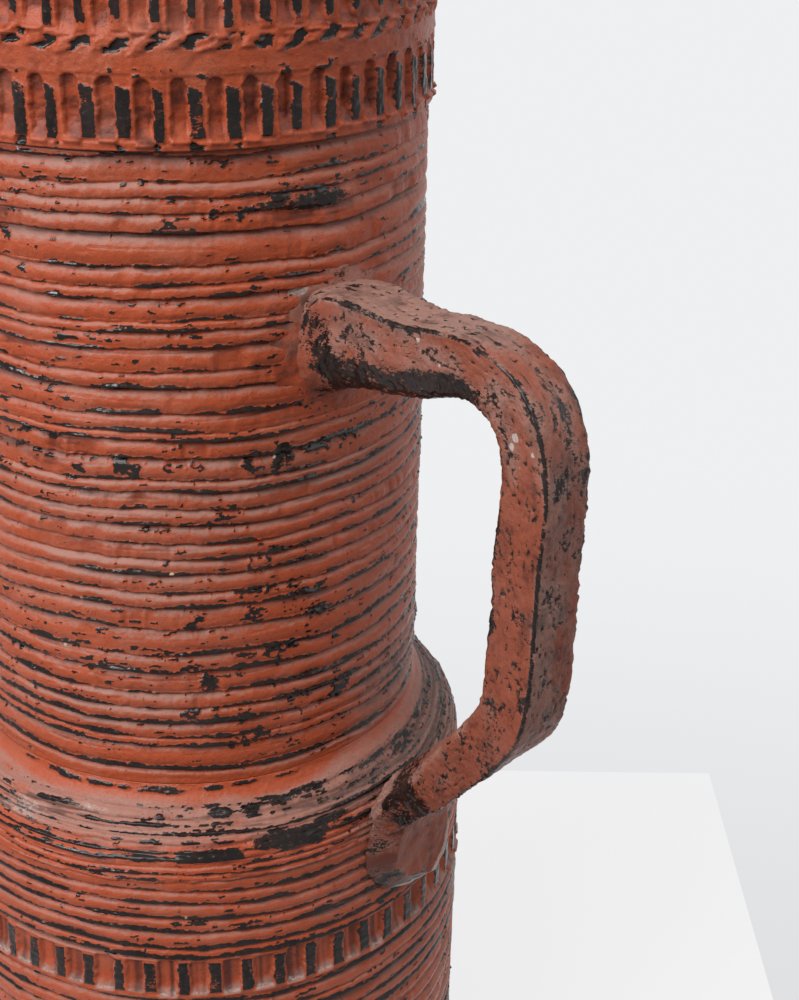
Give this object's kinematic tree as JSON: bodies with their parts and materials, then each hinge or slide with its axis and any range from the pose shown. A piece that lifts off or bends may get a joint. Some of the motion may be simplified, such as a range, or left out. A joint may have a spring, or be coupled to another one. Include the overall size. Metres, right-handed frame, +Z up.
{
  "type": "ringed stoneware jar",
  "caption": "Tall ringed stoneware jar with a low wide body, long straight neck, stamped bands, open mouth and an upright angular handle for lifting and pouring.",
  "frame": {"origin": "middle of the flat underside, where the jar stands", "axes": "+Z up the jar's axis, +X out through the handle"},
  "size_m": [0.2973, 0.2128, 0.54],
  "materials": {
    "bare_clay": "matt unglazed red stoneware",
    "combed_stoneware": "satin red slip with broken black glaze on the ridges",
    "handle_stoneware": "speckled black and red satin glaze"
  },
  "bodies": {
    "root": {"base_slab": "bare_clay", "body": "combed_stoneware", "shoulder": "combed_stoneware", "neck": "combed_stoneware", "collar": "combed_stoneware", "rim": "combed_stoneware", "upper_luting_pad": "handle_stoneware", "lower_luting_pad": "handle_stoneware", "handle": "handle_stoneware"}
  },
  "joints": []
}
